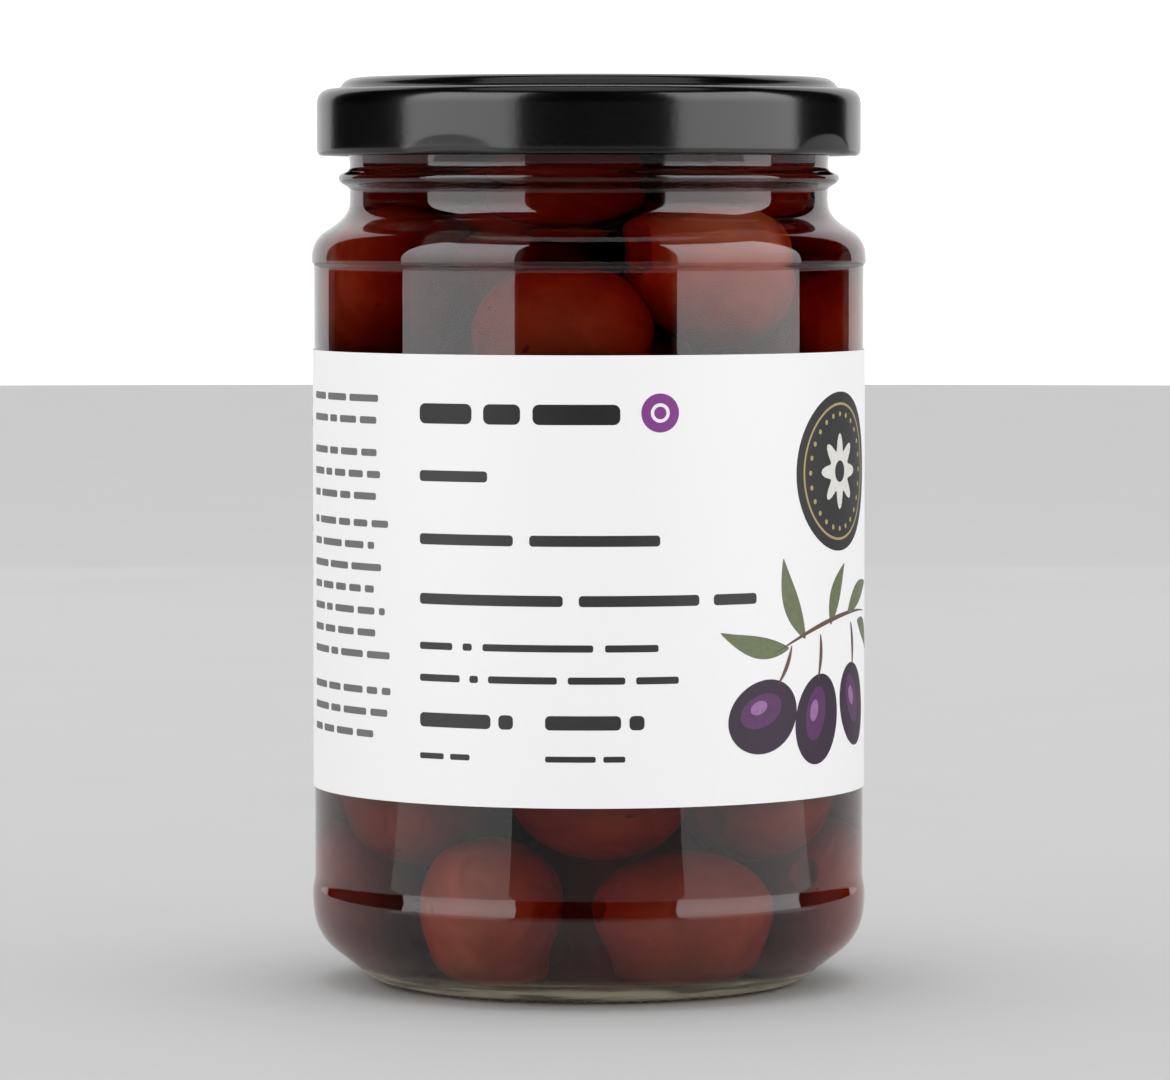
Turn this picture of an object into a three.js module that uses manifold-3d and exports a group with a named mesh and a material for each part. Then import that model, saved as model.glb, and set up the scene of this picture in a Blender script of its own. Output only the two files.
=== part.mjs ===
// A jar of pitted olives: a round glass jar, a black twist-off lid, a paper label round the body,
// and whole olives packed behind the glass.
// Millimetres, +Z up. The origin is the centre of the ring that the jar stands on, and the front faces -Y.
import * as THREE from "three";
import { mergeVertices } from "three/addons/utils/BufferGeometryUtils.js";
import Module from "manifold-3d";

const wasm = await Module();
wasm.setup();

// Glass jar
const BODY_RADIUS = 33.7; // the flat-sided panel that takes the label
const BULGE_RADIUS = 34; // the two rounded bands that guard the label
const WALL = 2.3;
const PANEL_BOTTOM = 14.3;
const PANEL_TOP = 87;
const HEEL_TOP = 11;
const SHOULDER_BOTTOM = 88.7;
const NECK_RADIUS = 29.3;
const NECK_BOTTOM = 95.9;
const BEAD_RADIUS = 30.7;
const BEAD_HEIGHT = 98.8;
const FINISH_RADIUS = 29.55; // the plain wall under the threads
const MOUTH_RADIUS = 27;
const RIM_TOP = 110.3;
const BEARING_INNER = 22.8;
const BEARING_OUTER = 24.6;
const PUNT_HEIGHT = 2.6; // how far the underside rises at its middle
const FLOOR_EDGE = 3.2; // top of the glass floor over the bearing ring
const FLOOR_MIDDLE = 5.6;

// Threads under the lid: four short ramps, each with a lug of the lid below it
const LUGS = 4;
const FIRST_LUG = -30; // degrees round from the front
const THREAD_THICKNESS = 1.1;
const THREAD_RADIUS = 30.1; // middle of the ramp
const THREAD_LOW = 104.6;
const THREAD_RISE = 1.8;
const THREAD_SWEEP = 62; // degrees

// Lid
const LID_RADIUS = 33.3;
const LID_BOTTOM = 101.4;
const LID_TOP = 111; // crest of the ring that presses on the rim
const LID_SHOULDER = 109.2;
const LID_PANEL = 109.7; // the sunken middle, inside the ring
const LID_SHEET = 0.55;
const CREST_RADIUS = 27.7;
const BUTTON_RADIUS = 10;
const BUTTON_RISE = 0.35;
const CURL_WIDTH = 1.4;
const CURL_TOP = 103.3;
const LUG_REACH = 1.5;
const LUG_DENT = 0.35; // how far the outside of the curl is pressed in at a lug
const LUG_HALF_ANGLE = 11.25;

// Label
const LABEL_BOTTOM = 24.3;
const LABEL_TOP = 77.8;
const LABEL_GAP = 0.05;
const LABEL_PAPER = 0.12;

// Olives
const OLIVE_LENGTH = 20;
const OLIVE_WIDTH = 17.5;
const OLIVE_RING = 21.3; // from the jar's axis to the middles of the olives that touch the wall
const OLIVE_NECK_RING = 16.6;
const OLIVES_ROUND = 6;
const FIRST_LAYER = 12.9;
const LAYER_STEP = 13.8;
const LAYERS = 5;
const CORE_RADIUS = 22;
const CORE_NECK_RADIUS = 15;
const CORE_BOTTOM = 6.5;
const CORE_TOP = 98;
// The uneven top layers, as [degrees round from the front, height of the middle, lean of the long axis]
const CROWN = [
  [-75, 84.5, 60],
  [-8, 79, 8],
  [38, 87, -12],
  [92, 79.5, 30],
  [140, 87, -40],
  [188, 80, 5],
  [235, 86.5, 70],
];
const NECK_OLIVES = [
  [-15, 95.5, 20],
  [75, 96.5, -30],
  [175, 95.5, 10],
  [260, 96.8, 50],
];

const SIDES = 48; // facets round the jar, the lid and the label
const CURVE_STEPS = 3;
const MERGE_DISTANCE = 1e-3;

const radians = THREE.MathUtils.degToRad;

// A closed geometry as a solid whose shared corners are one point.
function solidFrom(geometry) {
  const bare = new THREE.BufferGeometry();
  bare.setAttribute("position", geometry.getAttribute("position"));
  if (geometry.index) bare.setIndex(geometry.index);
  const merged = mergeVertices(bare, MERGE_DISTANCE);
  return new wasm.Manifold(
    new wasm.Mesh({
      numProp: 3,
      vertProperties: new Float32Array(merged.getAttribute("position").array),
      triVerts: new Uint32Array(merged.index.array),
    }),
  );
}

function meshFrom(name, solid, material) {
  const { vertProperties, triVerts } = solid.getMesh();
  const geometry = new THREE.BufferGeometry();
  geometry.setAttribute("position", new THREE.BufferAttribute(vertProperties, 3));
  geometry.setIndex(new THREE.BufferAttribute(triVerts, 1));
  const mesh = new THREE.Mesh(geometry, material);
  mesh.name = name;
  return mesh;
}

// Turns an outline, drawn as radius and height, round the jar's axis.
function turned(outline) {
  const points = outline.getPoints(CURVE_STEPS);
  return new THREE.LatheGeometry(points, SIDES).rotateX(Math.PI / 2);
}

// A point at a radius and height, by degrees round from the front.
function around(degrees, radius, height) {
  const a = radians(degrees);
  return new THREE.Vector3(radius * Math.sin(a), -radius * Math.cos(a), height);
}

// From the middle of the underside, up the outside, over the rim, and down the inside.
function jarOutline() {
  const bore = BODY_RADIUS - WALL;
  const outline = new THREE.Path();
  outline.moveTo(0, PUNT_HEIGHT);
  outline.bezierCurveTo(10, PUNT_HEIGHT, 17.5, 1.7, BEARING_INNER, 0);
  outline.lineTo(BEARING_OUTER, 0);
  outline.quadraticCurveTo(25.9, 0, 26.9, 0.75);
  outline.lineTo(30.8, 3.8);
  outline.bezierCurveTo(33.2, 5.5, BULGE_RADIUS, 7.4, BULGE_RADIUS, HEEL_TOP);
  outline.lineTo(BULGE_RADIUS, HEEL_TOP + 0.9);
  outline.lineTo(BODY_RADIUS + 0.1, PANEL_BOTTOM - 0.8);
  outline.lineTo(BODY_RADIUS, PANEL_BOTTOM);
  outline.lineTo(BODY_RADIUS, PANEL_TOP);
  outline.lineTo(BODY_RADIUS + 0.1, PANEL_TOP + 0.7);
  outline.lineTo(BULGE_RADIUS, SHOULDER_BOTTOM);
  outline.bezierCurveTo(BULGE_RADIUS, 90.6, 33.3, 91.6, 32.1, 92.35);
  outline.bezierCurveTo(30.6, 93.3, NECK_RADIUS, 94.2, NECK_RADIUS, NECK_BOTTOM);
  outline.lineTo(NECK_RADIUS, BEAD_HEIGHT - 0.9);
  outline.quadraticCurveTo(BEAD_RADIUS, BEAD_HEIGHT - 0.75, BEAD_RADIUS, BEAD_HEIGHT);
  outline.quadraticCurveTo(BEAD_RADIUS, BEAD_HEIGHT + 0.5, FINISH_RADIUS, BEAD_HEIGHT + 1.5);
  outline.lineTo(FINISH_RADIUS, RIM_TOP - 0.8);
  outline.quadraticCurveTo(FINISH_RADIUS, RIM_TOP, FINISH_RADIUS - 0.9, RIM_TOP);
  outline.lineTo(MOUTH_RADIUS + 0.6, RIM_TOP);
  outline.lineTo(MOUTH_RADIUS, RIM_TOP - 0.6);
  outline.lineTo(MOUTH_RADIUS, NECK_BOTTOM - 0.4);
  outline.bezierCurveTo(MOUTH_RADIUS, 92.6, bore, 92.4, bore, SHOULDER_BOTTOM - 0.6);
  outline.lineTo(bore, 12);
  outline.bezierCurveTo(bore, 8, 30.6, 6.6, 28.9, 5.3);
  outline.quadraticCurveTo(26.4, FLOOR_EDGE, BEARING_INNER, FLOOR_EDGE);
  outline.bezierCurveTo(17, FLOOR_EDGE, 10, FLOOR_MIDDLE, 0, FLOOR_MIDDLE);
  return outline;
}

// One thread: a rounded ramp that climbs round a short part of the mouth.
function threadRamp(startDegrees) {
  const rings = [0, 1, 2, 3, 4].map((step) => {
    const along = step / 4;
    const degrees = startDegrees + along * THREAD_SWEEP;
    return around(degrees, THREAD_RADIUS, THREAD_LOW + along * THREAD_RISE);
  });
  const section = new THREE.Shape().absarc(0, 0, THREAD_THICKNESS, 0, 2 * Math.PI);
  const ramp = new THREE.ExtrudeGeometry(section, {
    extrudePath: new THREE.CatmullRomCurve3(rings),
    steps: 9,
    curveSegments: 4,
  });
  return solidFrom(ramp);
}

function glassJar() {
  let jar = solidFrom(turned(jarOutline()));
  for (let i = 0; i < LUGS; i++) {
    const lugDegrees = FIRST_LUG + (i * 360) / LUGS;
    jar = jar.add(threadRamp(lugDegrees - LUG_HALF_ANGLE));
  }
  return jar;
}

// From the middle of the top, out over the ring and down the skirt, round the curl, and back inside.
function lidOutline() {
  const top = new THREE.Path();
  const inner = LID_RADIUS - LID_SHEET;
  const curl = LID_RADIUS - CURL_WIDTH;
  const button = LID_PANEL + BUTTON_RISE;
  top.moveTo(0, LID_PANEL - LID_SHEET);
  top.lineTo(25.3, LID_PANEL - LID_SHEET);
  top.lineTo(26.3, LID_TOP - LID_SHEET);
  top.lineTo(29.3, LID_TOP - LID_SHEET);
  top.lineTo(30.5, LID_SHOULDER - LID_SHEET);
  top.lineTo(31.6, LID_SHOULDER - LID_SHEET);
  top.lineTo(inner, LID_SHOULDER - LID_SHEET - 1.3);
  top.lineTo(inner, CURL_TOP + 0.3);
  top.lineTo(curl, CURL_TOP - 0.4);
  top.lineTo(curl, LID_BOTTOM + 0.5);
  top.lineTo(curl + 0.4, LID_BOTTOM);
  top.lineTo(LID_RADIUS - 0.6, LID_BOTTOM);
  top.lineTo(LID_RADIUS, LID_BOTTOM + 0.7);
  top.lineTo(LID_RADIUS, CURL_TOP + 0.9);
  top.lineTo(LID_RADIUS, LID_SHOULDER - 1.9);
  top.quadraticCurveTo(LID_RADIUS, LID_SHOULDER, 31.3, LID_SHOULDER);
  top.lineTo(30.7, LID_SHOULDER + 0.1);
  top.quadraticCurveTo(29.7, LID_TOP, CREST_RADIUS, LID_TOP);
  top.lineTo(CREST_RADIUS - 0.9, LID_TOP);
  top.lineTo(25.7, LID_PANEL);
  top.lineTo(BUTTON_RADIUS, LID_PANEL);
  top.lineTo(BUTTON_RADIUS - 1.2, button);
  top.lineTo(0, button);
  return top;
}

// How much of a lug's push a direction gets, from 1 at its middle to 0 past its ends.
function lugShare(degrees) {
  const pitch = 360 / LUGS;
  const offset = THREE.MathUtils.euclideanModulo(degrees - FIRST_LUG + pitch / 2, pitch) - pitch / 2;
  const share = Math.min(Math.abs(offset) / LUG_HALF_ANGLE, 1);
  return Math.cos((share * Math.PI) / 2) ** 2;
}

// The lugs are the curl pressed inwards: a dent outside, and a longer reach inside.
function pressLugs(geometry) {
  const position = geometry.getAttribute("position");
  for (let i = 0; i < position.count; i++) {
    const [x, y, z] = [position.getX(i), position.getY(i), position.getZ(i)];
    if (z > CURL_TOP) continue;
    const radius = Math.hypot(x, y);
    const depth = THREE.MathUtils.clamp((LID_RADIUS - radius) / CURL_WIDTH, 0, 1);
    const reach = THREE.MathUtils.lerp(LUG_DENT, LUG_REACH, depth);
    const degrees = THREE.MathUtils.radToDeg(Math.atan2(x, -y));
    const scale = 1 - (reach * lugShare(degrees)) / radius;
    position.setXY(i, x * scale, y * scale);
  }
  return geometry;
}

function lid() {
  return solidFrom(pressLugs(turned(lidOutline())));
}

// A sleeve of paper, a hair clear of the glass.
function label() {
  const inner = BODY_RADIUS + LABEL_GAP;
  const outer = inner + LABEL_PAPER;
  const strip = new THREE.Path();
  strip.moveTo(inner, LABEL_BOTTOM);
  strip.lineTo(outer, LABEL_BOTTOM);
  strip.lineTo(outer, LABEL_TOP);
  strip.lineTo(inner, LABEL_TOP);
  strip.lineTo(inner, LABEL_BOTTOM);
  return solidFrom(turned(strip));
}

// One olive, its long axis leaning by some degrees from level in the plane that faces the glass.
function olive(degrees, radius, height, lean, size) {
  const shape = new THREE.IcosahedronGeometry(0.5, 1);
  shape.scale(OLIVE_LENGTH * size, OLIVE_WIDTH * size, OLIVE_WIDTH * size);
  shape.rotateY(radians(-lean));
  shape.rotateZ(radians(degrees));
  const middle = around(degrees, radius, height);
  return solidFrom(shape.translate(middle.x, middle.y, middle.z));
}

function heapCore() {
  const core = new THREE.Path();
  core.moveTo(0, CORE_BOTTOM);
  core.lineTo(CORE_RADIUS, CORE_BOTTOM);
  core.lineTo(CORE_RADIUS, SHOULDER_BOTTOM);
  core.lineTo(CORE_NECK_RADIUS, NECK_BOTTOM);
  core.lineTo(CORE_NECK_RADIUS, CORE_TOP);
  core.lineTo(0, CORE_TOP);
  return solidFrom(turned(core));
}

// Staggered rings of olives up the wall, then the uneven ones of the shoulder and the neck.
function olives() {
  const pieces = [];
  for (let layer = 0; layer < LAYERS; layer++) {
    for (let i = 0; i < OLIVES_ROUND; i++) {
      const count = layer * OLIVES_ROUND + i;
      const degrees = ((i + (layer % 2 ? 0 : 0.5)) * 360) / OLIVES_ROUND;
      const height = FIRST_LAYER + layer * LAYER_STEP + (layer ? 0.8 : 0.2) * Math.sin(5 * count);
      const lean = 38 * Math.sin(3.1 * count + 0.4);
      const size = 0.98 + 0.03 * Math.cos(4 * count);
      pieces.push(olive(degrees, OLIVE_RING, height, lean, size));
    }
  }
  for (const [degrees, height, lean] of CROWN) pieces.push(olive(degrees, OLIVE_RING, height, lean, 1));
  for (const [degrees, height, lean] of NECK_OLIVES) {
    pieces.push(olive(degrees, OLIVE_NECK_RING, height, lean, 0.97));
  }
  return wasm.Manifold.union([heapCore(), ...pieces]);
}

const GLASS = new THREE.MeshStandardMaterial({
  color: 0xcfd8cf,
  roughness: 0.05,
  metalness: 0,
  transparent: true,
  opacity: 0.35,
});
const LACQUER = new THREE.MeshStandardMaterial({ color: 0x0a0a0b, roughness: 0.3, metalness: 0.2 });
const PAPER = new THREE.MeshStandardMaterial({ color: 0xf3f1f2, roughness: 0.6, metalness: 0 });
const OLIVE_SKIN = new THREE.MeshStandardMaterial({ color: 0x4a1612, roughness: 0.35, metalness: 0 });

const group = new THREE.Group();
group.add(
  meshFrom("glass_jar", glassJar(), GLASS),
  meshFrom("lid", lid(), LACQUER),
  meshFrom("label", label(), PAPER),
  meshFrom("olives", olives(), OLIVE_SKIN),
);

export default group;
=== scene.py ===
import math
import random

import bmesh
import bpy
from mathutils import Matrix, Vector
from mathutils.geometry import interpolate_bezier


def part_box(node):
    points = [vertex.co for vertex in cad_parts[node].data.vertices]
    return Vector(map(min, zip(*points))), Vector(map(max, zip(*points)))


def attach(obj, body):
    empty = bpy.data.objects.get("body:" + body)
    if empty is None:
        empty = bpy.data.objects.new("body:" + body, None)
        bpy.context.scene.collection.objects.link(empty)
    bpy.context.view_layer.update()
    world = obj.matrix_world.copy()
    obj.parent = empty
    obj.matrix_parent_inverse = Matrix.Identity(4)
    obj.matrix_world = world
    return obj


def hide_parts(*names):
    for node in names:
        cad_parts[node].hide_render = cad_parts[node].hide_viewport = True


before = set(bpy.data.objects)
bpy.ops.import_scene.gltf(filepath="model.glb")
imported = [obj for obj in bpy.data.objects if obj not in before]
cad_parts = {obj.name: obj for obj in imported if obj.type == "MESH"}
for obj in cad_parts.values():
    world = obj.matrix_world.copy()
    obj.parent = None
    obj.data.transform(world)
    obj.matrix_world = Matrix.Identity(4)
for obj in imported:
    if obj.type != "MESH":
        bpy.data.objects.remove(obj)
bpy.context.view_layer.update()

# Outlines are drawn in millimetres, as radius and height, and meshes are in metres
MM = 0.001
_, jar_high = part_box("glass_jar")
lid_low, lid_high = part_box("lid")
label_low, label_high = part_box("label")

# Glass jar
BULGE_RADIUS = jar_high.x / MM
RIM_TOP = jar_high.z / MM
BODY_RADIUS = BULGE_RADIUS - 0.3
WALL = 2.3
PANEL_BOTTOM = 13.6
PANEL_TOP = 87
HEEL_TOP = 11
SHOULDER_BOTTOM = 88.7
NECK_RADIUS = 29.3
NECK_BOTTOM = 95.9
BEAD_RADIUS = 30.7
BEAD_HEIGHT = 98.8
BEAD_TOP = BEAD_HEIGHT + 1.5
FINISH_RADIUS = 29.55
FINISH_DRAFT = 0.24
MOUTH_RADIUS = 27
BEARING_INNER = 22.8
BEARING_OUTER = 24.6
PUNT_HEIGHT = 2.6
FLOOR_EDGE = 3.6
FLOOR_MIDDLE = 5.5
KNURLS = 72
KNURL_HEIGHT = 0.25

# Threads and lugs
LUGS = 4
FIRST_LUG = -30
LUG_HALF_ANGLE = 11.25
LUG_REACH = 1.5
LUG_DENT = 0.27
DENT_HEIGHT = 2.4
THREAD_DEPTH = 1.6
THREAD_HALF_HEIGHT = 1.1
THREAD_LOW = 104.6
THREAD_RISE = 1.8
THREAD_SWEEP = 62
THREAD_RUNOUT = 0.06

# Lid
LID_RADIUS = lid_high.x / MM
LID_TOP = lid_high.z / MM
LID_BOTTOM = lid_low.z / MM
LID_SHOULDER = LID_TOP - 1.35
LID_PANEL = LID_TOP - 1.3
LID_SHEET = 0.4
CREST_RADIUS = 27.7
CURL_WIDTH = 1.4
CURL_TOP = LID_BOTTOM + 1.9
BUTTON_RADIUS = 10
BUTTON_RISE = 0.35

# Label
LABEL_RADIUS = label_high.x / MM
LABEL_TOP = label_high.z / MM
LABEL_BOTTOM = label_low.z / MM
PAPER = 0.1
INK_RISE = 0.015
INK_SINK = 0.03
LABEL_OVERLAP = 11
OVERLAP_RISE = 0.09
OVERLAP_CLIMB = 6

# Brine and olives
BRINE_INTO_WALL = 0.08
BRINE_LEVEL = 103.4
OLIVE_LENGTH = 20
OLIVE_WIDTH = 17.5
OLIVE_RING = 21.3
OLIVE_NECK_RING = 14.0
BOTTOM_RING = 22.8
OLIVES_ROUND = 6
FIRST_LAYER = 12.6
LAYER_STEP = 13.9
LAYERS = 5
OUTER_LEAN = 38
BOTTOM_OUTWARD = 1.2
BOTTOM_SMALLER = 0.06
INNER_RING = 8.5
INNER_ROUND = 3
INNER_FIRST = 14.2
INNER_STEP = 15
INNER_LAYERS = 6
INNER_LEAN = 60
CENTRE_FIRST = 14.0
CENTRE_STEP = 13.2
CENTRE_LAYERS = 7

# An olive's ends, as parts of its half width and half length
HOLE_RADIUS = 0.2
HOLE_DEPTH = 0.3
POINT_START = 0.9
POINT_GROWTH = 0.05

# Olives of the shoulder and of the neck: degrees, height, lean and tone
CROWN = (
    (-75, 84.5, 60, 0.25), (-8, 80.2, 8, 0.3), (38, 87, -12, 0.75), (92, 79.5, 30, 0.35),
    (140, 87, -40, 0.4), (188, 80, 5, 0.5), (235, 86.5, 70, 0.3),
)
NECK_OLIVES = ((-10, 97, 66, 0.0), (75, 96.5, -30, 0.1), (175, 95.5, 10, 0.2), (260, 96.8, 50, 0.1))

# The olives that show most, each in place of the one of the same count: degrees, height, lean, size,
# width and tone
SEEN = {
    0: (26.8, 11.0, -4, 1.06, 0.78, 0.3),
    5: (-28.3, 11.8, 41, 0.83, 1.1, 0.62),
    6: (3, 25.8, -6, 1.0, 0.98, 0.28),
    7: (58, 25.2, 20, 1.0, 0.98, 0.3),
    11: (-60, 24.8, -30, 1.0, 1.0, 0.35),
}

# One behind the gap between the two lowest at the front: degrees, distance, height, lean and size
GAP_OLIVE = (180, 16.5, 11.9, 0, 0.9)

# Fineness, with rows of points close together where threads and lugs push the walls
JAR_SIDES = 288
LID_SIDES = 288
LABEL_STEPS = 360
DISC_SIDES = 72
OLIVE_SIDES = 36
OLIVE_RINGS = 26
PANEL_STEPS = 24
CURVE_STEPS = 8
ROW = 0.3
EDGE = 0.2

# Studio, in metres from the jar's axis and above the floor
SOFTBOX_DISTANCE = 0.7
SOFTBOX_HEIGHT = 0.85
SOFTBOXES = (("left", -82, -30), ("right", 36, 96))
CARD_START = 0.12
CARD_RISE = 0.0006
UNDER_RADIUS = 0.033
UNDER_RISE = 0.00005
BACKDROP_DISTANCE = 0.9
OVERHEAD_HEIGHT = 1.1
FLOOR_RADIUS = 2.5
WHITE = (1, 1, 1)

# Camera, from the photograph's frame of 1170 by 1080 pixels
PHOTO_WIDTH, PHOTO_HEIGHT = 1170, 1080
PIXELS_PER_MM = 8.144
CAMERA_DISTANCE = 0.803
EYE_HEIGHT = 0.097
EYE_ROW = 192
AXIS_COLUMN = 588.8
SENSOR = 36


def outline(start, *steps):
    """Radius and height points. A step is an end point, after one or two handles where it is a curve."""
    points = [Vector(start)]
    for step in steps:
        *handles, end = [Vector(step[i:i + 2]) for i in range(0, len(step), 2)]
        last = points[-1]
        if not handles:
            length = (end - last).length
            if length > 4 * EDGE:
                # Points close to the ends of a long straight keep its shading flat
                points += [last.lerp(end, EDGE / length), end.lerp(last, EDGE / length)]
            points.append(end)
            continue
        if len(handles) == 1:
            handles = [last.lerp(handles[0], 2 / 3), end.lerp(handles[0], 2 / 3)]
        points += interpolate_bezier(last, *handles, end, CURVE_STEPS + 1)[1:]
    return points


def spun(points, sides):
    """A surface turned round the jar's axis, starting at the front."""
    bm = bmesh.new()
    verts = [bm.verts.new((0, -r * MM, z * MM)) for r, z in points]
    edges = [bm.edges.new(pair) for pair in zip(verts, verts[1:])]
    bmesh.ops.spin(
        bm, geom=verts + edges, cent=(0, 0, 0), axis=(0, 0, 1), dvec=(0, 0, 0),
        angle=2 * math.pi, steps=sides, use_merge=True, use_duplicate=False,
    )
    bmesh.ops.remove_doubles(bm, verts=bm.verts, dist=0.002 * MM)
    bmesh.ops.recalc_face_normals(bm, faces=bm.faces)
    return bm


def degrees_round(point):
    """Degrees round from the front, counted as the jar is seen from above, towards +X."""
    return math.degrees(math.atan2(point.x, -point.y))


def push_out(point, distance):
    """Moves a point away from the jar's axis by some millimetres."""
    flat = Vector((point.x, point.y, 0))
    return point + flat.normalized() * distance * MM


def rotation(degrees, axis="Z"):
    return Matrix.Rotation(math.radians(degrees), 3, axis)


def built(name, bm, material):
    mesh = bpy.data.meshes.new(name)
    bm.to_mesh(mesh)
    bm.free()
    mesh.materials.append(material)
    made = bpy.data.objects.new(name, mesh)
    bpy.context.scene.collection.objects.link(made)
    return made


def piece(name, bm, material, sharp=38):
    """A smooth piece of the jar, with edges left sharp where it turns by more than some degrees."""
    made = built(name, bm, material)
    made.data.polygons.foreach_set("use_smooth", [True] * len(made.data.polygons))
    made.data.set_sharp_from_angle(angle=math.radians(sharp))
    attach(made, "root")
    return made


# Shader maths


class Value:
    """A socket that works in Python expressions."""

    def __init__(self, shader, socket):
        self.shader, self.socket = shader, socket

    def _math(self, operation, *values):
        return self.shader.node("Math", {"operation": operation}, dict(enumerate(values)))

    def __add__(self, other):
        return self._math("ADD", self, other)

    def __rsub__(self, other):
        return self._math("SUBTRACT", other, self)

    def __mul__(self, other):
        return self._math("MULTIPLY", self, other)

    __radd__ = __add__
    __rmul__ = __mul__

    def step(self, low, high):
        """0 under low and 1 over high, with a smooth climb between."""
        return self.shader.node(
            "MapRange", {"interpolation_type": "SMOOTHSTEP"},
            {"Value": self, "From Min": low, "From Max": high},
        )


class Shader:
    """A material's node tree, built by expressions."""

    def __init__(self, name):
        self.material = bpy.data.materials.new(name)
        self.material.use_nodes = True
        self.tree = self.material.node_tree
        self.tree.nodes.clear()
        self.out = self.tree.nodes.new("ShaderNodeOutputMaterial")

    def node(self, kind, settings=None, inputs=None, output=0):
        made = self.tree.nodes.new("ShaderNode" + kind)
        for name, setting in (settings or {}).items():
            setattr(made, name, setting)
        for name, value in (inputs or {}).items():
            self.feed(made.inputs[name], value)
        return Value(self, made.outputs[output])

    def feed(self, socket, value):
        if isinstance(value, Value):
            self.tree.links.new(value.socket, socket)
        else:
            socket.default_value = value

    def place(self):
        """The object's own coordinates, in metres."""
        return self.node("TexCoord", output="Object")

    def along(self, axis):
        return self.node("SeparateXYZ", inputs={"Vector": self.place()}, output=axis)

    def noise(self, scale, detail=3.0, roughness=0.5, distortion=0.0, stretch=(1, 1, 1)):
        spot = self.node("Mapping", inputs={"Vector": self.place(), "Scale": stretch})
        inputs = {"Vector": spot, "Scale": scale, "Detail": detail, "Roughness": roughness}
        return self.node("TexNoise", inputs={**inputs, "Distortion": distortion})

    def attribute(self, name):
        return self.node("Attribute", {"attribute_name": name}, output="Fac")

    def mix(self, share, first, second):
        """The first colour where the share is 0 and the second where it is 1."""
        made = self.tree.nodes.new("ShaderNodeMix")
        made.data_type = "RGBA"
        self.feed(made.inputs[0], share)
        for index, colour in ((6, first), (7, second)):
            self.feed(made.inputs[index], colour if isinstance(colour, Value) else (*colour, 1))
        return Value(self, made.outputs[2])

    def bump(self, height, strength, distance):
        inputs = {"Height": height, "Strength": strength, "Distance": distance}
        return self.node("Bump", inputs=inputs, output="Normal")

    def finish(self, surface, volume=None):
        self.tree.links.new(surface.socket, self.out.inputs["Surface"])
        if volume:
            self.tree.links.new(volume.socket, self.out.inputs["Volume"])
        return self.material

    def principled(self, colour, **inputs):
        """The shader's inputs are named in small letters, with underscores for spaces."""
        named = {"Base Color": colour if isinstance(colour, Value) else (*colour, 1)}
        for name, value in inputs.items():
            named[name.replace("_", " ").title().replace("Ior", "IOR")] = value
        return self.node("BsdfPrincipled", inputs=named)


# Finishes


def clear_glass(name, gleam, stipple=0.0):
    """Glass with a little waviness and a stippled base, which gleams less where brine wets it than in air."""
    s = Shader(name)
    waves = s.noise(60, detail=1, stretch=(1, 1, 0.35))
    haze = s.noise(220, detail=4).step(0.55, 0.8)
    thick_to_thin = s.along("Z").step(0.001, 0.007)
    colour = s.mix(thick_to_thin, (0.8, 0.76, 0.62), (0.97, 0.985, 0.955))
    glass = s.principled(
        colour, roughness=haze * 0.012, ior=1.5, transmission_weight=1.0,
        specular_tint=(gleam, gleam, gleam, 1), normal=s.bump(waves, 0.12, 0.0004),
    )
    if not stipple:
        return s.finish(glass)
    streaks = s.noise(1000, detail=2, stretch=(0.06, 0.06, 1)).step(0.38, 0.62)
    base = 1 - s.along("Z").step(0.0013, 0.003)
    frosted = s.principled((0.74, 0.68, 0.5), roughness=0.45, specular_ior_level=0.5)
    share = base * (streaks * 0.65 + 0.15) * stipple
    return s.finish(s.node("MixShader", inputs={0: share, 1: glass, 2: frosted}))


def brine():
    s = Shader("brine")
    surface = s.principled(
        (1.0, 0.99, 0.985), roughness=0.0, ior=1.34, transmission_weight=1.0, specular_tint=(0, 0, 0, 1)
    )
    colour, density = (0.84, 0.32, 0.12, 1), 270.0
    depth = s.node("VolumeAbsorption", inputs={"Color": colour, "Density": density}, output="Volume")
    return s.finish(surface, depth)


def black_lacquer():
    s = Shader("black_lacquer")
    cloud = s.noise(90, detail=5)
    peel = s.noise(1400, detail=2)
    colour = s.mix(cloud.step(0.3, 0.7), (0.0009, 0.0009, 0.001), (0.0018, 0.0018, 0.002))
    return s.finish(s.principled(
        colour, roughness=0.15 + cloud * 0.05, specular_ior_level=0.5,
        normal=s.bump(peel, 0.12, 0.00006),
    ))


def label_paper():
    s = Shader("label_paper")
    fibres = s.noise(900, detail=6, roughness=0.65)
    mottle = s.noise(45, detail=3)
    colour = s.mix(fibres * 0.5 + mottle * 0.5, (0.905, 0.9, 0.903), (0.945, 0.94, 0.943))
    return s.finish(s.principled(
        colour, roughness=0.52 + fibres * 0.14, specular_ior_level=0.3,
        normal=s.bump(fibres, 0.18, 0.00004),
    ))


def ink(name, colour, spread=0.12):
    s = Shader(name)
    grain = s.noise(1600, detail=4)
    darker = tuple(c * (1 - spread) for c in colour)
    lighter = tuple(c * (1 + spread) for c in colour)
    return s.finish(s.principled(
        s.mix(grain, darker, lighter), roughness=0.46 + grain * 0.1, specular_ior_level=0.3,
        normal=s.bump(grain, 0.1, 0.00002),
    ))


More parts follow.
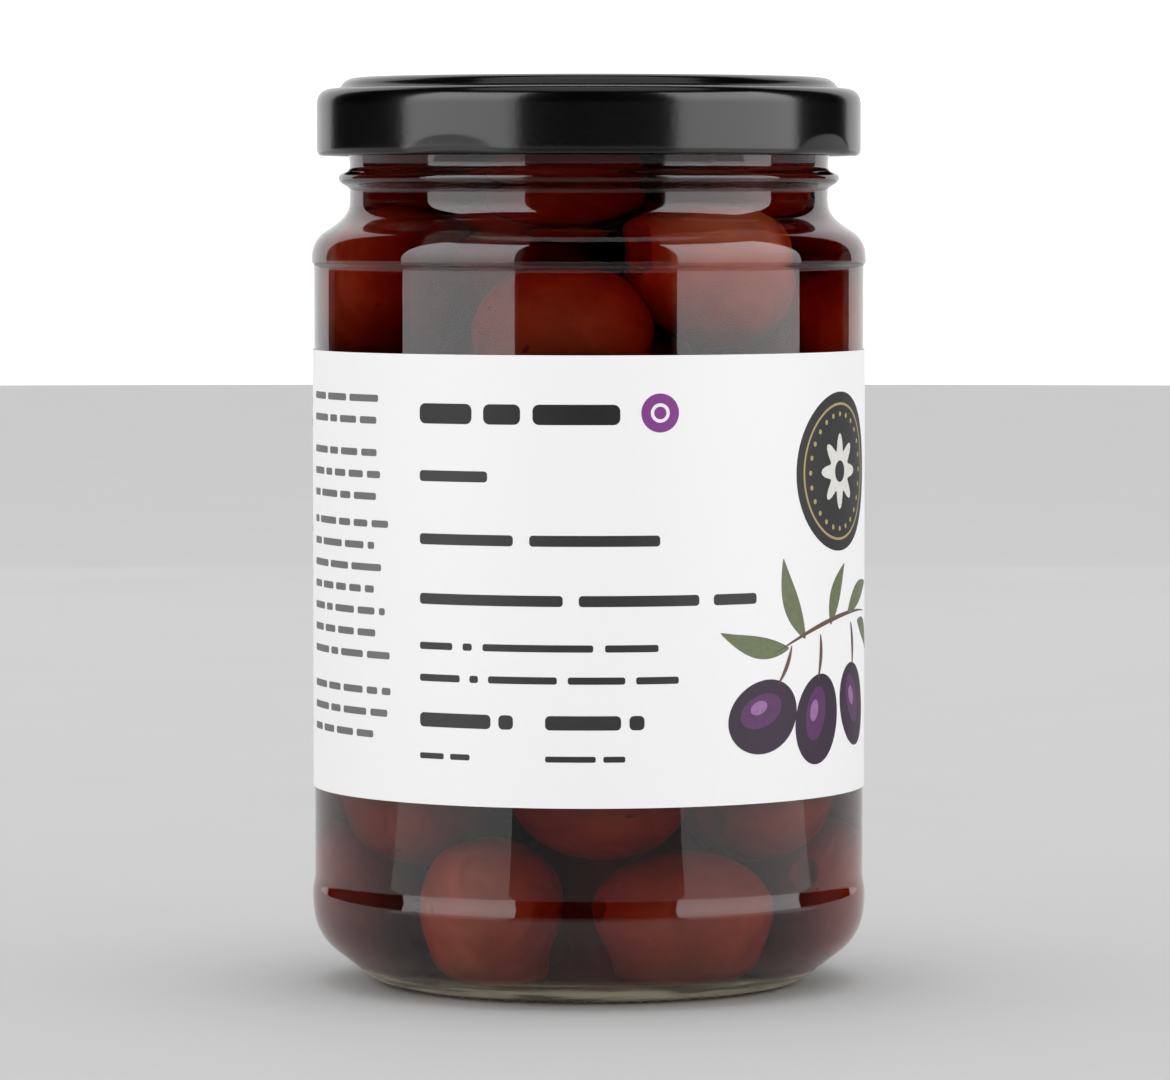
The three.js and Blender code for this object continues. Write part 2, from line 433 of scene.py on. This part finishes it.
def olive_skin():
    s = Shader("olive_skin")
    tone = s.attribute("tone")
    blotch = s.noise(130, detail=4, roughness=0.6, distortion=0.6)
    fine = s.noise(700, detail=5, roughness=0.6)
    wrinkle = s.noise(260, detail=3, distortion=1.2)
    dark = s.mix(blotch.step(0.35, 0.7), (0.24, 0.036, 0.024), (0.34, 0.06, 0.036))
    brown = s.mix(blotch.step(0.35, 0.7), (0.46, 0.1, 0.035), (0.6, 0.17, 0.065))
    skin = s.mix(tone, dark, brown)
    freckled = s.mix(fine.step(0.66, 0.78) * 0.3, skin, (0.6, 0.24, 0.14))
    fleck = s.noise(400, detail=1).step(0.75, 0.8)
    spotted = s.mix(fleck * 0.7, freckled, (0.05, 0.014, 0.01))
    return s.finish(s.principled(
        spotted, roughness=0.42 + fine * 0.2, ior=1.12, specular_ior_level=0.5,
        normal=s.bump(wrinkle * 0.7 + fine * 0.3, 0.12, 0.0004),
    ))


# Glass


def inside(grow=0.0):
    """The jar's inner outline from its mouth to the middle of its floor, or one that grows into the glass."""
    bore = BODY_RADIUS - WALL + grow
    mouth = MOUTH_RADIUS + grow
    edge = FLOOR_EDGE - grow
    middle = FLOOR_MIDDLE - grow
    return (
        (mouth, NECK_BOTTOM - 0.4),
        (mouth, 92.6, bore, 92.4, bore, SHOULDER_BOTTOM - 0.6),
        (bore, 12.4),
        (bore, 8.2, 29.6 + grow, edge, 24.5, edge),
        (17, edge, 10, middle, 0, middle),
    )


def jar_outline():
    standing = KNURL_HEIGHT
    foot = (FINISH_RADIUS - FINISH_DRAFT, BEAD_TOP)
    mouth_wall = [(FINISH_RADIUS - max(0, FINISH_DRAFT - 0.03 * i), BEAD_TOP + ROW * i) for i in range(1, 30)]
    return outline(
        (0, PUNT_HEIGHT),
        (10, PUNT_HEIGHT, 17.5, 1.7, BEARING_INNER, standing),
        (23.4, standing),
        (BEARING_OUTER - 0.4, standing),
        (BEARING_OUTER, standing),
        (25.9, standing, 26.9, 0.85),
        (30.8, 3.8),
        (33.2, 5.5, BULGE_RADIUS, 7.4, BULGE_RADIUS, HEEL_TOP),
        (BULGE_RADIUS, HEEL_TOP + 1, BODY_RADIUS, PANEL_BOTTOM - 1.3, BODY_RADIUS, PANEL_BOTTOM),
        (BODY_RADIUS, PANEL_TOP + 0.6),
        (BODY_RADIUS, PANEL_TOP + 1.3, BULGE_RADIUS - 0.05, PANEL_TOP + 1, BULGE_RADIUS, SHOULDER_BOTTOM),
        (BULGE_RADIUS, 90.6, 33.3, 91.6, 32.1, 92.35),
        (30.6, 93.3, NECK_RADIUS, 94.2, NECK_RADIUS, NECK_BOTTOM),
        (NECK_RADIUS, BEAD_HEIGHT - 1.7),
        (NECK_RADIUS, BEAD_HEIGHT - 1, BEAD_RADIUS, BEAD_HEIGHT - 1, BEAD_RADIUS, BEAD_HEIGHT - 0.1),
        (BEAD_RADIUS, BEAD_HEIGHT + 0.8, FINISH_RADIUS - 0.3, BEAD_HEIGHT + 0.4, *foot),
        *mouth_wall,
        (FINISH_RADIUS, RIM_TOP - 0.8),
        (FINISH_RADIUS, RIM_TOP, FINISH_RADIUS - 0.9, RIM_TOP),
        (MOUTH_RADIUS + 0.6, RIM_TOP),
        (MOUTH_RADIUS, RIM_TOP, MOUTH_RADIUS, RIM_TOP - 0.6),
        *inside(),
    )


def thread_push(degrees, height):
    """How far a thread stands out of the mouth's wall at a place, in millimetres."""
    pitch = 360 / LUGS
    along = ((degrees - FIRST_LUG + LUG_HALF_ANGLE) % pitch) / THREAD_SWEEP
    if along > 1:
        return 0
    across = (height - THREAD_LOW - along * THREAD_RISE) / THREAD_HALF_HEIGHT
    ends = min(1, along / THREAD_RUNOUT, (1 - along) / THREAD_RUNOUT)
    return THREAD_DEPTH * ends * math.sqrt(max(0, 1 - across * across))


def wetted(face):
    """The number of a face's finish: 1 on the inner wall or floor where brine covers it, otherwise 0."""
    spot = face.calc_center_median() / MM
    inward = -face.normal.dot(Vector((spot.x, spot.y, 0)).normalized())
    on_floor = face.normal.z > 0.3 and spot.z < 9
    return int(FLOOR_EDGE - 0.3 < spot.z < BRINE_LEVEL and (inward > 0.15 or on_floor))


def glass_jar():
    bm = spun(jar_outline(), JAR_SIDES)
    for v in bm.verts:
        radius, height = v.co.to_2d().length / MM, v.co.z / MM
        if radius > FINISH_RADIUS - 0.3 and BEAD_TOP < height < RIM_TOP - 0.9:
            v.co = push_out(v.co, thread_push(degrees_round(v.co), height))
        elif BEARING_INNER + 0.2 < radius < BEARING_OUTER - 0.1 and height < KNURL_HEIGHT + 0.01:
            knurl = math.cos(math.radians(degrees_round(v.co) * KNURLS))
            v.co.z -= KNURL_HEIGHT * max(0, knurl) * MM
    for face in bm.faces:
        face.material_index = wetted(face)
    made = piece("glass", bm, clear_glass("clear_glass", gleam=1, stipple=0.85))
    made.data.materials.append(clear_glass("wet_glass", gleam=0.08))
    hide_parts("glass_jar")


def brine_fill():
    """The brine reaches just into the glass, so that no gap shows between them."""
    edge = (MOUTH_RADIUS + BRINE_INTO_WALL, BRINE_LEVEL)
    points = outline((0, BRINE_LEVEL), edge, *inside(BRINE_INTO_WALL))
    piece("brine", spun(points, JAR_SIDES // 2), brine())


# Lid


def lid_outline():
    inner = LID_RADIUS - LID_SHEET
    curl = LID_RADIUS - CURL_WIDTH
    button = LID_PANEL + BUTTON_RISE
    under = LID_SHEET
    return outline(
        (0, LID_PANEL - under),
        (25.2, LID_PANEL - under),
        (26.0, LID_PANEL - under, 26.3, LID_TOP - under, 27.0, LID_TOP - under),
        (29.2, LID_TOP - under),
        (30.4, LID_SHOULDER - under),
        (31.4, LID_SHOULDER - under),
        (inner, LID_SHOULDER - under, inner, LID_SHOULDER - under - 1.5),
        *((inner, CURL_TOP + 1.2 - ROW * i) for i in range(3)),
        (inner, CURL_TOP + 0.3, curl, CURL_TOP + 0.2, curl, CURL_TOP - 0.5),
        (curl, LID_BOTTOM + 0.5),
        (curl, LID_BOTTOM, curl + 0.5, LID_BOTTOM),
        (LID_RADIUS - 0.75, LID_BOTTOM),
        (LID_RADIUS, LID_BOTTOM, LID_RADIUS, LID_BOTTOM + 0.9),
        *((LID_RADIUS, LID_BOTTOM + 0.9 + ROW * i) for i in range(1, 9)),
        (LID_RADIUS, LID_SHOULDER - 1.95),
        (LID_RADIUS, LID_SHOULDER - 0.7, 32.6, LID_SHOULDER - 0.05, 31.35, LID_SHOULDER),
        (30.7, LID_SHOULDER, 30.4, LID_SHOULDER + 0.2),
        (29.8, LID_TOP - 0.1, 28.8, LID_TOP, CREST_RADIUS, LID_TOP),
        (CREST_RADIUS - 0.7, LID_TOP),
        (26.2, LID_TOP, 26.3, LID_PANEL, 25.4, LID_PANEL),
        (BUTTON_RADIUS, LID_PANEL),
        (BUTTON_RADIUS - 0.5, LID_PANEL, BUTTON_RADIUS - 0.9, button, BUTTON_RADIUS - 1.6, button),
        (0, button + 0.12),
    )


def lug_pull(degrees, height, depth):
    """How far a lug draws in the lid's wall at a place, in millimetres: a dome outside, a tongue inside."""
    pitch = 360 / LUGS
    offset = (degrees - FIRST_LUG + pitch / 2) % pitch - pitch / 2
    aside = min(abs(offset) / LUG_HALF_ANGLE, 1)
    up = (height - LID_BOTTOM) / DENT_HEIGHT
    dome = max(0, 1 - aside * aside - up * up)
    tongue = math.cos(aside * math.pi / 2) ** 2 * min(1, max(0, (CURL_TOP + 0.6 - height) / 0.8))
    return LUG_DENT * dome + (LUG_REACH - LUG_DENT) * depth * tongue


def lid():
    bm = spun(lid_outline(), LID_SIDES)
    for v in bm.verts:
        height = v.co.z / MM
        if height < LID_BOTTOM + DENT_HEIGHT:
            depth = min(max((LID_RADIUS - v.co.to_2d().length / MM) / CURL_WIDTH, 0), 1)
            v.co = push_out(v.co, -lug_pull(degrees_round(v.co), height, depth))
    made = piece("twist_lid", bm, black_lacquer())
    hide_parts("lid")


# Label and its print, drawn flat and wrapped round: across is millimetres round from the front


def wrapped(bm, radius, thickness):
    """Bends a flat sheet round the jar and gives it a thickness inwards."""
    for v in bm.verts:
        across, height = v.co.x, v.co.y
        a = across / radius
        v.co = Vector((math.sin(a) * radius, -math.cos(a) * radius, height)) * MM
    bmesh.ops.recalc_face_normals(bm, faces=bm.faces)
    face = max(bm.faces, key=lambda f: f.calc_area())
    outward = face.normal.dot(Vector((*face.calc_center_median().xy, 0))) > 0
    if not outward:
        bmesh.ops.reverse_faces(bm, faces=bm.faces)
    bmesh.ops.solidify(bm, geom=bm.faces, thickness=thickness * MM)
    return bm


def paper_sleeve():
    """The label, whose last stretch lies over its own start at the back."""
    half = LABEL_RADIUS * math.pi
    bm = bmesh.new()
    bmesh.ops.create_grid(bm, x_segments=LABEL_STEPS, y_segments=6, size=0.5)
    width, height = 2 * half + LABEL_OVERLAP, LABEL_TOP - LABEL_BOTTOM
    middle = Vector((LABEL_OVERLAP / 2, (LABEL_TOP + LABEL_BOTTOM) / 2, 0))
    bmesh.ops.scale(bm, vec=(width, height, 1), verts=bm.verts)
    bmesh.ops.translate(bm, vec=middle, verts=bm.verts)
    over = {v: min(1, max(0, (v.co.x - half + OVERLAP_CLIMB) / OVERLAP_CLIMB)) for v in bm.verts}
    wrapped(bm, LABEL_RADIUS, PAPER)
    for v, share in over.items():
        if v.is_valid:
            v.co = push_out(v.co, OVERLAP_RISE * share)
    made = piece("paper_label", bm, label_paper())
    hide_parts("label")


def bar(across, height, width, tall):
    """A bar of print with round ends, from its left end and its middle height."""
    bm = bmesh.new()
    steps = max(2, int(width / 0.8))
    bmesh.ops.create_grid(bm, x_segments=steps, y_segments=1, size=0.5)
    bmesh.ops.scale(bm, vec=(width, tall, 1), verts=bm.verts)
    corners = [v for v in bm.verts if abs(abs(v.co.x) - width / 2) < 1e-6]
    bmesh.ops.bevel(
        bm, geom=corners, offset=min(tall * 0.32, width * 0.3), offset_type="OFFSET", affect="VERTICES",
        segments=4, profile=0.5, material=-1,
    )
    bmesh.ops.translate(bm, vec=(across + width / 2, height, 0), verts=bm.verts)
    return bm


def disc(across, height, radius, squash=1.0, lean=0.0, hole=0.0, petals=0, depth=0.0):
    """A round or oval spot, or a ring where it has a hole, or a scalloped one where it has petals."""
    bm = bmesh.new()
    rings = max(3, int((radius - hole) / 0.9))
    line = [bm.verts.new((hole + (radius - hole) * i / rings, 0, 0)) for i in range(rings + 1)]
    edges = [bm.edges.new(pair) for pair in zip(line, line[1:])]
    bmesh.ops.spin(
        bm, geom=line + edges, cent=(0, 0, 0), axis=(0, 0, 1), dvec=(0, 0, 0),
        angle=2 * math.pi, steps=DISC_SIDES, use_merge=True, use_duplicate=False,
    )
    bmesh.ops.remove_doubles(bm, verts=bm.verts, dist=1e-4)
    if petals:
        for v in bm.verts:
            a = math.atan2(v.co.y, v.co.x)
            v.co *= 1 - depth * (0.5 - 0.5 * math.cos(petals * a))
    bmesh.ops.scale(bm, vec=(1, squash, 1), verts=bm.verts)
    bmesh.ops.rotate(bm, cent=(0, 0, 0), matrix=rotation(lean), verts=bm.verts)
    bmesh.ops.translate(bm, vec=(across, height, 0), verts=bm.verts)
    return bm


def leaf(across, height, length, width, lean):
    """A slender pointed leaf from its stalk end."""
    bm = disc(0, 0, length / 2)
    for v in bm.verts:
        along = v.co.x / (length / 2)
        v.co.y *= (width / length) * (1 - 0.55 * along * along) * (1 - 0.25 * along)
        v.co.y += 0.07 * length * (1 - along * along)
        v.co.x += length / 2
    bmesh.ops.rotate(bm, cent=(0, 0, 0), matrix=rotation(lean), verts=bm.verts)
    bmesh.ops.translate(bm, vec=(across, height, 0), verts=bm.verts)
    return bm


def joined(forms):
    """Several forms as one mesh."""
    whole = bmesh.new()
    for form in forms:
        mesh = bpy.data.meshes.new("form")
        form.to_mesh(mesh)
        form.free()
        whole.from_mesh(mesh)
        bpy.data.meshes.remove(mesh)
    return whole


def printed(name, sheets, material, layer=1):
    """A layer of ink on the label. A higher layer lies over a lower one."""
    rise = INK_RISE * layer
    bm = wrapped(joined(sheets), LABEL_RADIUS + rise, rise + INK_SINK)
    piece(name, bm, material, sharp=60)


def words(across, height, tall, widths, gap):
    """A row of bars with equal gaps."""
    bars = []
    for width in widths:
        bars.append(bar(across, height, width, tall))
        across += width + gap
    return bars


def print_text():
    """Rows of plain bars: a bold one at the top, longer ones in the middle and small ones below."""
    left = -21.5
    right = left + 16.3
    heading = words(left, 70.8, 2.4, (7.2, 4.6, 10.4), 1.5)
    title = words(left, 63.4, 1.3, (9.2,), 0)
    title += words(left, 55.9, 1.3, (12.4, 15.6), 2.0)
    title += words(left, 48.8, 1.3, (18.4, 14.6, 6.0), 1.9)
    notes = words(left, 43.2, 0.85, (4.6, 1.2, 13.4, 6.4), 1.4)
    notes += words(left, 39.4, 0.85, (5.6, 1.1, 8.4, 6.8, 5.2), 1.3)
    figures = words(left, 34.4, 1.7, (9.6, 1.8), 1.0)
    figures += words(right, 34.4, 1.7, (9.0, 1.8), 1.0)
    small = words(left, 30.1, 0.7, (3.4, 2.6), 0.9)
    small += words(right, 30.1, 0.7, (6.0, 2.6), 0.9)
    printed("print_heading", heading, ink("ink_black", (0.012, 0.012, 0.013)))
    dark = ink("ink_charcoal", (0.03, 0.03, 0.032))
    printed("print_lines", title + notes + figures + small, dark)


def broken_line(draw, across, end, height, tall):
    """A row of bars of unequal lengths, as far apart as they are tall."""
    bars = []
    while across < end - 1:
        width = min(draw.uniform(2.0, 6.2), end - across)
        bars.append(bar(across, height, width, tall))
        across += width + tall
    return bars


def print_side_columns():
    """Small grey lines of unequal length at the label's left, and more of them towards its back."""
    draw = random.Random(5)
    line_step, left_edge, right_edge = 2.62, -46.5, -26.2
    back_top, back_width = 71.5, 24
    bars = []
    for start, rows in ((72.4, 2), (65.9, 3), (57.4, 7), (37.4, 3)):
        for row in range(rows):
            end = right_edge - draw.uniform(0, 3.4)
            bars += broken_line(draw, left_edge, end, start - row * line_step, 0.85)
    for column, rows in ((-74, 17), (62, 15)):
        for row in range(rows):
            if row % 6 == 5:
                continue
            end = column + back_width - draw.uniform(0, 5)
            bars += broken_line(draw, column, end, back_top - row * line_step, 0.8)
    printed("print_side_lines", bars, ink("ink_grey", (0.16, 0.16, 0.165)))


def print_emblem():
    """A small purple disc with a white ring in it."""
    across, height = 8.5, 71
    printed("emblem_disc", [disc(across, height, 2.3)], ink("ink_purple", (0.22, 0.03, 0.25)))
    ring = disc(across, height, 1.15, hole=0.75)
    printed("emblem_ring", [ring], ink("ink_white", (0.86, 0.86, 0.86)), layer=2)


def print_seal():
    """A dark round seal with a gold ring and a rosette."""
    across, height = 37.4, 63.4
    printed("seal_disc", [disc(across, height, 9.6)], ink("ink_seal", (0.022, 0.022, 0.022)))
    gold = ink("ink_gold", (0.42, 0.33, 0.14))
    ring = disc(across, height, 8.3, hole=8.0)
    dots = [
        disc(across + 6.9 * math.cos(a), height + 6.9 * math.sin(a), 0.3)
        for a in (math.radians(15 * i) for i in range(24))
    ]
    printed("seal_gold", [ring, *dots], gold, layer=2)
    rosette = disc(across, height, 4.6, petals=8, depth=0.45)
    printed("seal_rosette", [rosette], ink("ink_seal_pale", (0.75, 0.74, 0.7)), layer=2)
    printed("seal_eye", [disc(across, height, 1.3)], ink("ink_seal_eye", (0.022, 0.022, 0.022)), layer=3)


def print_sprig():
    """A sprig with small dark fruits and narrow leaves, printed low at the right."""
    fruits = ((22.6, 34.6, 5.4, 0.8, 18), (32.2, 33.8, 5.5, 0.8, 74), (42.0, 35.0, 5.3, 0.8, 118))
    skin = [disc(x, z, r, squash, lean) for x, z, r, squash, lean in fruits]
    glow = [disc(x - 0.5, z + 0.7, r * 0.6, squash * 0.75, lean) for x, z, r, squash, lean in fruits]
    shine = [disc(x - 0.9, z + 1.1, r * 0.24, 0.6, lean) for x, z, r, squash, lean in fruits]
    leaves = [
        leaf(26.5, 42.6, 10.5, 2.6, 168), leaf(29.5, 43.6, 10.5, 2.7, 112), leaf(35.0, 45.0, 8.2, 2.5, 62),
        leaf(40.0, 46.2, 9.5, 2.5, 20), leaf(44.0, 45.0, 8.5, 2.4, -28),
    ]
    twig = [
        leaf(24.5, 42.2, 24, 0.55, 9), leaf(27.0, 42.9, 5.4, 0.5, -118), leaf(32.6, 44.0, 5.6, 0.5, -96),
        leaf(41.0, 45.0, 5.4, 0.5, -84),
    ]
    printed("sprig_leaves", leaves, ink("ink_leaf", (0.13, 0.16, 0.075), 0.3))
    printed("sprig_twig", twig, ink("ink_twig", (0.12, 0.07, 0.05)), layer=2)
    printed("sprig_fruits", skin, ink("ink_fruit", (0.03, 0.012, 0.034), 0.3), layer=2)
    printed("sprig_glow", glow, ink("ink_fruit_glow", (0.09, 0.022, 0.1), 0.35), layer=3)
    printed("sprig_shine", shine, ink("ink_fruit_shine", (0.3, 0.13, 0.34), 0.3), layer=4)


# Olives


def olive_places():
    """Each olive's degrees round, distance from the axis, height, lean, size, and some's width and tone."""
    for layer in range(LAYERS):
        outward, scatter, smaller = (0, 0.8, 0) if layer else (BOTTOM_OUTWARD, 0.2, BOTTOM_SMALLER)
        for i in range(OLIVES_ROUND):
            count = layer * OLIVES_ROUND + i
            if count in SEEN:
                continue
            degrees = (i + (0 if layer % 2 else 0.5)) * 360 / OLIVES_ROUND
            height = FIRST_LAYER + layer * LAYER_STEP + scatter * math.sin(5 * count)
            lean = OUTER_LEAN * math.sin(3.1 * count + 0.4)
            size = 0.98 + 0.03 * math.cos(4 * count) - smaller
            yield degrees, OLIVE_RING + outward, height, lean, size
    for degrees, height, lean, size, width, tone in SEEN.values():
        ring = BOTTOM_RING if height < FIRST_LAYER + 1 else OLIVE_RING
        yield degrees, ring, height, lean, size, width, tone
    for degrees, height, lean, tone in CROWN:
        yield degrees, OLIVE_RING, height, lean, 1.0, 0.98, tone
    for degrees, height, lean, tone in NECK_OLIVES:
        yield degrees, OLIVE_NECK_RING, height, lean, 0.97, 0.96, tone
    for layer in range(INNER_LAYERS):
        for i in range(INNER_ROUND):
            degrees = (i + 0.5 * (layer % 2)) * 360 / INNER_ROUND + 20
            lean = INNER_LEAN * math.sin(2 * (layer * INNER_ROUND + i))
            yield degrees, INNER_RING, INNER_FIRST + layer * INNER_STEP, lean, 0.95
    for layer in range(CENTRE_LAYERS):
        yield 0, 0, CENTRE_FIRST + layer * CENTRE_STEP, 90 * (layer % 2), 0.92
    yield GAP_OLIVE


def olive(number, degrees, distance, height, lean, size, width=1.0, shade=None):
    """One olive: an egg-round fruit with a pitting hole at one end and a slight point at the other.

    Its number draws its unevenness, and its shade where none is given.
    """
    draw = random.Random(number)
    bm = bmesh.new()
    tone = bm.verts.layers.float.new("tone")
    made = bmesh.ops.create_uvsphere(bm, u_segments=OLIVE_SIDES, v_segments=OLIVE_RINGS, radius=1)["verts"]
    shade = draw.uniform(0.05, 0.7) if shade is None else shade
    wobble = [(draw.uniform(1.5, 4), draw.uniform(0, 6.28), draw.uniform(0.006, 0.016)) for _ in range(4)]
    half_length, half_width = OLIVE_LENGTH * size / 2, OLIVE_WIDTH * size * width / 2
    for v in made:
        v[tone] = shade
        x, y, z = v.co
        ring = math.hypot(x, y)
        uneven = 1 + sum(d * math.sin(f * (x + 2 * y + 1.5 * z) + p) for f, p, d in wobble)
        long = z + POINT_GROWTH * max(0, z - POINT_START)
        if z < 0 and ring < HOLE_RADIUS:
            long += HOLE_DEPTH * (1 - ring / (1.2 * HOLE_RADIUS))
        v.co = Vector((x * half_width * uneven, y * half_width * uneven, long * half_length))
    turn = rotation(draw.uniform(0, 360))
    laid = rotation(degrees) @ rotation(-lean, "Y") @ rotation(90, "Y") @ turn
    bmesh.ops.rotate(bm, cent=(0, 0, 0), matrix=laid, verts=made)
    a = math.radians(degrees)
    bmesh.ops.translate(bm, vec=(distance * math.sin(a), -distance * math.cos(a), height), verts=made)
    bmesh.ops.scale(bm, vec=(MM, MM, MM), verts=made)
    return bm


def olives():
    bm = joined(olive(number, *place) for number, place in enumerate(olive_places()))
    made = piece("olives_in_jar", bm, olive_skin(), sharp=60)
    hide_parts("olives")


# Stage


def glow(name, colour, strength, low=0.0, high=1.0, foot=1.0):
    """A light panel's face. Its strength grows from a share of it at a low height to all at a high one."""
    s = Shader(name)
    level = foot + (1 - foot) * s.along("Z").step(low, high)
    inputs = {"Color": (*colour, 1), "Strength": level * strength}
    return s.finish(s.node("Emission", inputs=inputs, output="Emission"))


def curved_panel(name, points, start, end, material):
    """A studio panel round the jar: a line of radius and height in metres, swept between two directions."""
    bm = bmesh.new()
    verts = [bm.verts.new((0, -r, z)) for r, z in points]
    edges = [bm.edges.new(pair) for pair in zip(verts, verts[1:])]
    bmesh.ops.rotate(bm, cent=(0, 0, 0), matrix=rotation(start), verts=bm.verts)
    bmesh.ops.spin(
        bm, geom=verts + edges, cent=(0, 0, 0), axis=(0, 0, 1), dvec=(0, 0, 0),
        angle=math.radians(end - start), steps=PANEL_STEPS, use_merge=False, use_duplicate=False,
    )
    made = built(name, bm, material)
    made.visible_camera = False
    made.visible_diffuse = False
    return made


def studio():
    """Softboxes at both sides of the camera, what they and the floor throw on the jar, and a backdrop."""
    tall = glow("softbox", WHITE, 4.4, 0.05, 0.4, 0.66)
    upright = (SOFTBOX_DISTANCE, 0), (SOFTBOX_DISTANCE, SOFTBOX_HEIGHT)
    card = glow("card", WHITE, 1.3)
    below = (0, UNDER_RISE), (UNDER_RADIUS, UNDER_RISE)
    under = curved_panel("card_under", below, 0, 360, glow("warm_card", (1, 0.94, 0.74), 0.4))
    under.visible_glossy = False
    flat = (CARD_START, CARD_RISE), (SOFTBOX_DISTANCE, CARD_RISE)
    cards = [curved_panel("card_front", flat, -30, 36, glow("dim_card", WHITE, 0.3))]
    for side, start, end in SOFTBOXES:
        curved_panel("softbox_" + side, upright, start, end, tall)
        cards.append(curved_panel("card_" + side, flat, start, end, card))
    for made in cards:
        made.visible_transmission = False
        made.visible_shadow = False
    behind = (BACKDROP_DISTANCE, 0), (BACKDROP_DISTANCE, 1)
    curved_panel("backdrop", behind, 138, 222, glow("backdrop", WHITE, 1.0))
    above = (0, OVERHEAD_HEIGHT), (0.5, OVERHEAD_HEIGHT)
    curved_panel("overhead", above, 0, 359.9, glow("overhead", WHITE, 0.8))


def floor():
    bm = bmesh.new()
    bmesh.ops.create_circle(bm, cap_ends=True, segments=96, radius=FLOOR_RADIUS)
    s = Shader("pale_floor")
    colour = s.mix(s.noise(30, detail=3), (0.49, 0.49, 0.49), (0.51, 0.51, 0.51))
    pale = s.finish(s.principled(colour, roughness=0.9, specular_ior_level=0.1))
    made = built("floor", bm, pale)


def surroundings():
    """White light from all round, left out of gleams, as in a tent with black cloth between its lamps."""
    world = bpy.data.worlds.new("surroundings")
    bpy.context.scene.world = world
    world.use_nodes = True
    background = world.node_tree.nodes["Background"]
    background.inputs["Color"].default_value = (*WHITE, 1)
    background.inputs["Strength"].default_value = 1.25
    world.cycles_visibility.glossy = False
    world.cycles_visibility.transmission = False
    bpy.context.scene.view_settings.view_transform = "Standard"


def camera():
    focal_pixels = PIXELS_PER_MM * CAMERA_DISTANCE / MM
    data = bpy.data.cameras.new("camera")
    data.sensor_width = SENSOR
    data.lens = focal_pixels / PHOTO_WIDTH * SENSOR
    made = bpy.data.objects.new("camera", data)
    aside = (PHOTO_WIDTH / 2 - AXIS_COLUMN) / PIXELS_PER_MM * MM
    tilt = math.atan((PHOTO_HEIGHT / 2 - EYE_ROW) / focal_pixels)
    made.location = (aside, -CAMERA_DISTANCE, EYE_HEIGHT)
    made.rotation_euler = (math.pi / 2 - tilt, 0, 0)
    bpy.context.scene.collection.objects.link(made)
    bpy.context.scene.camera = made


camera()
surroundings()
studio()
floor()
glass_jar()
brine_fill()
lid()
paper_sleeve()
print_text()
print_side_columns()
print_emblem()
print_seal()
print_sprig()
olives()
